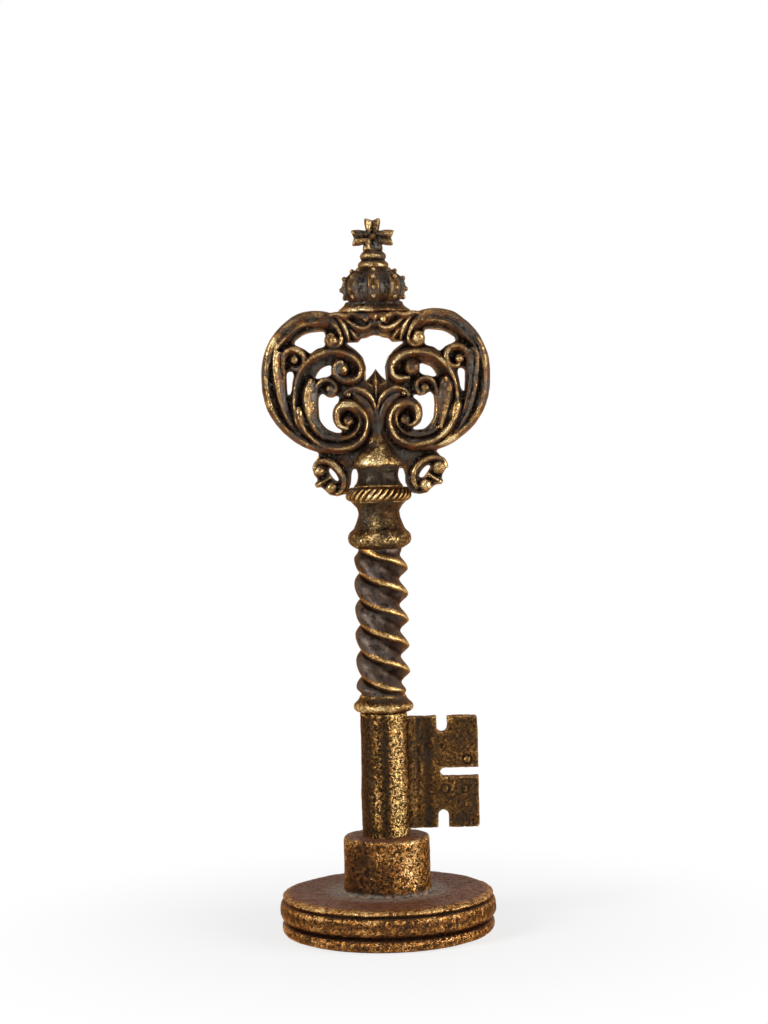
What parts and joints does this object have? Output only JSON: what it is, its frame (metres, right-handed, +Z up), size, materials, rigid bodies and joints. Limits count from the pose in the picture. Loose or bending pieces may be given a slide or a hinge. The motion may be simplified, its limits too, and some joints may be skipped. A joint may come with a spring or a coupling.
{
  "type": "decorative key",
  "caption": "Free-standing ornamental cast key on a round base: open scrolled bow with crown and cross, twisted shank, plain barrel and slotted bit.",
  "frame": {"origin": "middle of the felt's underside, on the table", "axes": "+Z up along the key's shank; front towards -Y; the bit points along +X"},
  "size_m": [0.1214, 0.1156, 0.381],
  "materials": {
    "cast_bronze": "antique patina, rubbed back to gold on the high edges",
    "dark_bronze": "dark antique patina",
    "zinc_steel": "zinc plated",
    "felt": "pressed felt"
  },
  "bodies": {
    "root": {"felt_pad": "felt", "foot_plate": "cast_bronze", "foot_screws": "zinc_steel", "base_disc": "cast_bronze", "pedestal": "cast_bronze", "barrel": "cast_bronze", "bit": "cast_bronze", "bead_collar": "cast_bronze", "twisted_shaft": "dark_bronze", "neck_collar": "cast_bronze", "rope_collar": "cast_bronze", "bell_post": "dark_bronze", "calyx_stem": "cast_bronze", "bow_left": "cast_bronze", "bow_right": "cast_bronze", "bow_pin": "zinc_steel", "crown_seat": "cast_bronze", "crown_pins": "zinc_steel", "crown_body": "cast_bronze", "finial_stud": "zinc_steel", "finial_rings": "cast_bronze", "cross": "cast_bronze", "tie_rod": "zinc_steel", "base_washer": "zinc_steel", "base_nut": "zinc_steel"}
  },
  "joints": []
}
